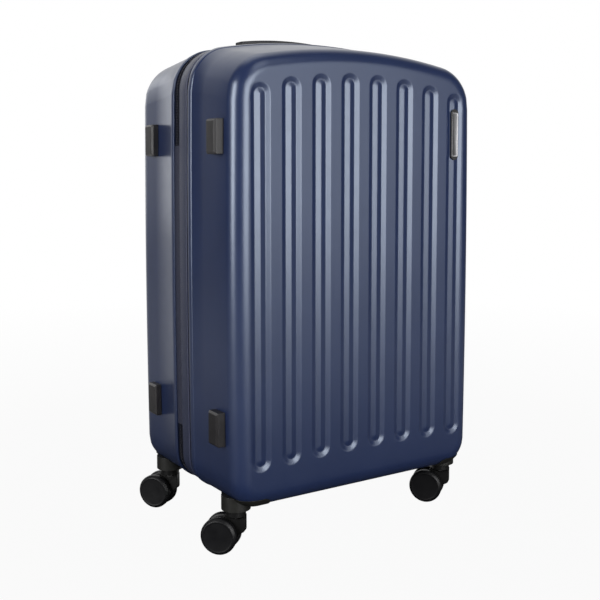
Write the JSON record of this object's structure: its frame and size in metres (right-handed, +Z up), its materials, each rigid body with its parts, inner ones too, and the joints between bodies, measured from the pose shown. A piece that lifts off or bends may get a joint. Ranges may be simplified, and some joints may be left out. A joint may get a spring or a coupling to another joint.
{
  "type": "hard shell suitcase on wheels",
  "caption": "Large hard shell spinner suitcase with a fluted crowned body, zip seam with expander, swivel twin casters, carry handles and a telescopic handle.",
  "frame": {"origin": "on the floor under the middle of the case", "axes": "+Z up, -Y towards the fluted front, -X towards the hinge side with the feet"},
  "size_m": [0.4903, 0.3252, 0.7832],
  "materials": {
    "navy_shell": "satin fine-grained moulded shell, navy blue",
    "band_cloth": "close woven navy band",
    "zip_cloth": "woven zip tape with a nylon coil",
    "lining_cloth": "thin grey lining cloth",
    "black_plastic": "fine textured black",
    "button_plastic": "smooth dark grey",
    "handle_rubber": "soft touch black",
    "tube_metal": "satin anodised",
    "plate_metal": "brushed, bare",
    "zip_metal": "black plated",
    "pin_steel": "turned",
    "caster_plastic": "moulded black",
    "wheel_rubber": "smooth black tread"
  },
  "bodies": {
    "back_case": {"back_shell": "navy_shell", "back_lining": "lining_cloth", "main_zip_back": "zip_cloth", "hinge_strip": "band_cloth", "back_feet": "black_plastic", "rear_left_guard": "caster_plastic", "rear_right_guard": "caster_plastic", "rear_kingpins": "pin_steel", "handle_cup": "black_plastic", "tube_bracket": "black_plastic", "outer_tubes": "tube_metal", "top_handle_anchors": "black_plastic", "side_handle_anchors": "black_plastic", "lock_body": "black_plastic"},
    "trolley_middle": {"middle_tubes": "tube_metal"},
    "trolley_top": {"top_tubes": "tube_metal", "trolley_grip": "black_plastic"},
    "trolley_button": {"trolley_button": "button_plastic"},
    "top_handle": {"top_handle": "handle_rubber"},
    "side_handle": {"side_handle": "handle_rubber"},
    "lid": {"seam_band": "band_cloth", "expander_gusset": "lining_cloth", "main_zip_band": "zip_cloth", "expander_zip_band": "zip_cloth"},
    "front_case": {"front_shell": "navy_shell", "front_lining": "lining_cloth", "expander_zip_front": "zip_cloth", "front_feet": "black_plastic", "name_plate": "plate_metal", "front_left_guard": "caster_plastic", "front_right_guard": "caster_plastic", "front_kingpins": "pin_steel"},
    "front_left_caster": {"front_left_fork": "caster_plastic", "front_left_axle": "pin_steel"},
    "front_left_wheel_outer": {"front_left_wheel_outer": "wheel_rubber"},
    "front_left_wheel_inner": {"front_left_wheel_inner": "wheel_rubber"},
    "front_right_caster": {"front_right_fork": "caster_plastic", "front_right_axle": "pin_steel"},
    "front_right_wheel_outer": {"front_right_wheel_outer": "wheel_rubber"},
    "front_right_wheel_inner": {"front_right_wheel_inner": "wheel_rubber"},
    "rear_left_caster": {"rear_left_fork": "caster_plastic", "rear_left_axle": "pin_steel"},
    "rear_left_wheel_outer": {"rear_left_wheel_outer": "wheel_rubber"},
    "rear_left_wheel_inner": {"rear_left_wheel_inner": "wheel_rubber"},
    "rear_right_caster": {"rear_right_fork": "caster_plastic", "rear_right_axle": "pin_steel"},
    "rear_right_wheel_outer": {"rear_right_wheel_outer": "wheel_rubber"},
    "rear_right_wheel_inner": {"rear_right_wheel_inner": "wheel_rubber"},
    "zip_slider_upper": {"zip_slider_upper": "zip_metal"},
    "zip_pull_upper": {"zip_pull_upper": "zip_metal"},
    "zip_slider_lower": {"zip_slider_lower": "zip_metal"},
    "zip_pull_lower": {"zip_pull_lower": "zip_metal"},
    "lock_dial_1": {"lock_dial_1": "button_plastic"},
    "lock_dial_2": {"lock_dial_2": "button_plastic"},
    "lock_dial_3": {"lock_dial_3": "button_plastic"},
    "lock_release": {"lock_release": "button_plastic"}
  },
  "joints": [
    {"name": "lid_hinge", "type": "hinge", "parent": "back_case", "child": "lid", "pos_m": [-0.2305, 0.0175, 0.386], "axis": [0, 0, -1], "range_deg": [0, 165]},
    {"name": "expander", "type": "slide", "parent": "lid", "child": "front_case", "axis": [0, -1, 0], "range_m": [0, 0.04]},
    {"name": "trolley_stage_1", "type": "slide", "parent": "back_case", "child": "trolley_middle", "axis": [0, 0, 1], "range_m": [0, 0.175]},
    {"name": "trolley_stage_2", "type": "slide", "parent": "trolley_middle", "child": "trolley_top", "axis": [0, 0, 1], "range_m": [0, 0.175]},
    {"name": "trolley_button_press", "type": "slide", "parent": "trolley_top", "child": "trolley_button", "axis": [0, 0, -1], "range_m": [0, 0.0035], "stiffness_N_per_m": 600},
    {"name": "top_handle_lift", "type": "slide", "parent": "back_case", "child": "top_handle", "axis": [0, 0, 1], "range_m": [0, 0.012]},
    {"name": "side_handle_pull", "type": "slide", "parent": "back_case", "child": "side_handle", "axis": [1, 0, 0], "range_m": [0, 0.012], "stiffness_N_per_m": 300},
    {"name": "front_left_swivel", "type": "hinge", "parent": "front_case", "child": "front_left_caster", "pos_m": [-0.2, -0.114, 0.062], "axis": [0, 0, 1], "continuous": true},
    {"name": "front_left_roll_outer", "type": "hinge", "parent": "front_left_caster", "child": "front_left_wheel_outer", "pos_m": [-0.21598, -0.09746, 0.0275], "axis": [0.7193, 0.6947, 0], "continuous": true},
    {"name": "front_left_roll_inner", "type": "hinge", "parent": "front_left_caster", "child": "front_left_wheel_inner", "pos_m": [-0.21598, -0.09746, 0.0275], "axis": [0.7193, 0.6947, 0], "continuous": true},
    {"name": "front_right_swivel", "type": "hinge", "parent": "front_case", "child": "front_right_caster", "pos_m": [0.2, -0.114, 0.062], "axis": [0, 0, 1], "continuous": true},
    {"name": "front_right_roll_outer", "type": "hinge", "parent": "front_right_caster", "child": "front_right_wheel_outer", "pos_m": [0.18553, -0.09613, 0.0275], "axis": [0.7771, 0.6293, 0], "continuous": true},
    {"name": "front_right_roll_inner", "type": "hinge", "parent": "front_right_caster", "child": "front_right_wheel_inner", "pos_m": [0.18553, -0.09613, 0.0275], "axis": [0.7771, 0.6293, 0], "continuous": true},
    {"name": "rear_left_swivel", "type": "hinge", "parent": "back_case", "child": "rear_left_caster", "pos_m": [-0.2, 0.114, 0.062], "axis": [0, 0, 1], "continuous": true},
    {"name": "rear_left_roll_outer", "type": "hinge", "parent": "rear_left_caster", "child": "rear_left_wheel_outer", "pos_m": [-0.21384, 0.13237, 0.0275], "axis": [0.7986, 0.6018, 0], "continuous": true},
    {"name": "rear_left_roll_inner", "type": "hinge", "parent": "rear_left_caster", "child": "rear_left_wheel_inner", "pos_m": [-0.21384, 0.13237, 0.0275], "axis": [0.7986, 0.6018, 0], "continuous": true},
    {"name": "rear_right_swivel", "type": "hinge", "parent": "back_case", "child": "rear_right_caster", "pos_m": [0.2, 0.114, 0.062], "axis": [0, 0, 1], "continuous": true},
    {"name": "rear_right_roll_outer", "type": "hinge", "parent": "rear_right_caster", "child": "rear_right_wheel_outer", "pos_m": [0.18522, 0.13162, 0.0275], "axis": [0.766, 0.6428, 0], "continuous": true},
    {"name": "rear_right_roll_inner", "type": "hinge", "parent": "rear_right_caster", "child": "rear_right_wheel_inner", "pos_m": [0.18522, 0.13162, 0.0275], "axis": [0.766, 0.6428, 0], "continuous": true},
    {"name": "zip_slider_upper_run", "type": "slide", "parent": "back_case", "child": "zip_slider_upper", "axis": [0, 0, 1], "range_m": [0, 0.06]},
    {"name": "zip_pull_upper_flip", "type": "hinge", "parent": "zip_slider_upper", "child": "zip_pull_upper", "pos_m": [0.2326, 0.0175, 0.426], "axis": [0, -1, 0], "range_deg": [0, 150]},
    {"name": "zip_slider_lower_run", "type": "slide", "parent": "back_case", "child": "zip_slider_lower", "axis": [0, 0, -1], "range_m": [0, 0.06]},
    {"name": "zip_pull_lower_flip", "type": "hinge", "parent": "zip_slider_lower", "child": "zip_pull_lower", "pos_m": [0.2326, 0.0175, 0.382], "axis": [0, -1, 0], "range_deg": [0, 150]},
    {"name": "lock_dial_1_turn", "type": "hinge", "parent": "back_case", "child": "lock_dial_1", "pos_m": [0.2344, 0.0464, 0.4045], "axis": [0, 0, 1], "continuous": true},
    {"name": "lock_dial_2_turn", "type": "hinge", "parent": "back_case", "child": "lock_dial_2", "pos_m": [0.2344, 0.0464, 0.4135], "axis": [0, 0, 1], "continuous": true},
    {"name": "lock_dial_3_turn", "type": "hinge", "parent": "back_case", "child": "lock_dial_3", "pos_m": [0.2344, 0.0464, 0.4225], "axis": [0, 0, 1], "continuous": true},
    {"name": "lock_release_slide", "type": "slide", "parent": "back_case", "child": "lock_release", "axis": [0, 0, 1], "range_m": [0, 0.004], "stiffness_N_per_m": 300}
  ]
}
